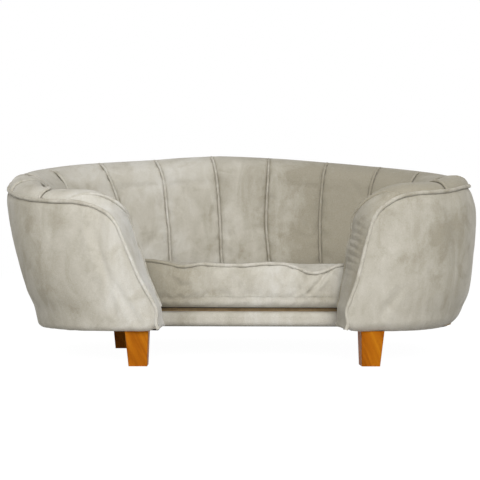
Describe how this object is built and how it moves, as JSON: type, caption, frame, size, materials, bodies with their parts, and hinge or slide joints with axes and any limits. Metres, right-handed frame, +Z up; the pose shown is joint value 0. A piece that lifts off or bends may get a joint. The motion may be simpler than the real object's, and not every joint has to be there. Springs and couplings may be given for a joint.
{
  "type": "dog sofa bed",
  "caption": "Tub-shaped pet sofa bed with a channelled wrap-round wall, loose boxed seat cushion and short tapered legs.",
  "frame": {"origin": "on the floor, below the middle of the sofa's overall box", "axes": "+X to the right of someone facing the sofa, +Y to its back, +Z up"},
  "size_m": [0.7588, 0.4639, 0.3592],
  "materials": {
    "velvet": "short-pile velvet, warm taupe, mottled nap",
    "piping": "velvet over cord",
    "foam": "open-cell foam",
    "wadding": "polyester wadding",
    "board": "raw plywood and hardboard",
    "timber": "raw pine",
    "leg_wood": "honey stain, satin lacquer",
    "lining": "black non-woven lining",
    "wire": "galvanised staple wire",
    "screw_steel": "zinc plated",
    "zip_tape": "woven zip tape",
    "zip_nylon": "nylon coil",
    "zip_metal": "taupe enamelled zinc"
  },
  "bodies": {
    "sofa": {"base_board": "board", "channel_01": "velvet", "channel_02": "velvet", "channel_03": "velvet", "channel_04": "velvet", "channel_05": "velvet", "channel_06": "velvet", "channel_07": "velvet", "channel_08": "velvet", "channel_09": "velvet", "channel_10": "velvet", "channel_11": "velvet", "channel_12": "velvet", "channel_13": "velvet", "channel_14": "velvet", "channel_15": "velvet", "channel_welts": "piping", "cross_battens": "timber", "deck_cloth": "lining", "dust_cover": "lining", "end_band_left": "velvet", "end_band_right": "velvet", "frame_screws": "screw_steel", "front_rail_cover": "velvet", "front_rail_foam": "foam", "front_timber": "timber", "hanger_bolts": "screw_steel", "left_timber": "timber", "leg_front_left": "leg_wood", "leg_front_right": "leg_wood", "leg_rear_left": "leg_wood", "leg_rear_right": "leg_wood", "outer_cover": "velvet", "outer_wadding": "wadding", "rear_timber": "timber", "right_timber": "timber", "rim_welt": "piping", "seat_deck": "board", "staples": "wire", "tee_nuts": "screw_steel", "top_rail": "timber", "wall_board": "board", "wall_foam": "foam", "wall_posts": "timber"},
    "cushion": {"cushion_core": "foam", "cushion_top_cover": "velvet", "cushion_boxing": "velvet", "cushion_base_cover": "velvet", "cushion_welt": "piping", "zipper_tapes": "zip_tape", "zipper_coils": "zip_nylon", "zipper_stops": "zip_metal"},
    "zip_slider": {"zipper_slider": "zip_metal"},
    "zip_pull": {"zipper_pull": "zip_metal"}
  },
  "joints": [
    {"name": "cushion_lift", "type": "slide", "parent": "sofa", "child": "cushion", "axis": [0, 0, 1], "range_m": [0, 0.3]},
    {"name": "zip_slide", "type": "slide", "parent": "cushion", "child": "zip_slider", "axis": [-1, 0, 0], "range_m": [0, 0.222]},
    {"name": "zip_pull_swing", "type": "hinge", "parent": "zip_slider", "child": "zip_pull", "pos_m": [0.1116, 0.13638, 0.1211], "axis": [1, 0, 0], "range_deg": [0, 25]}
  ]
}
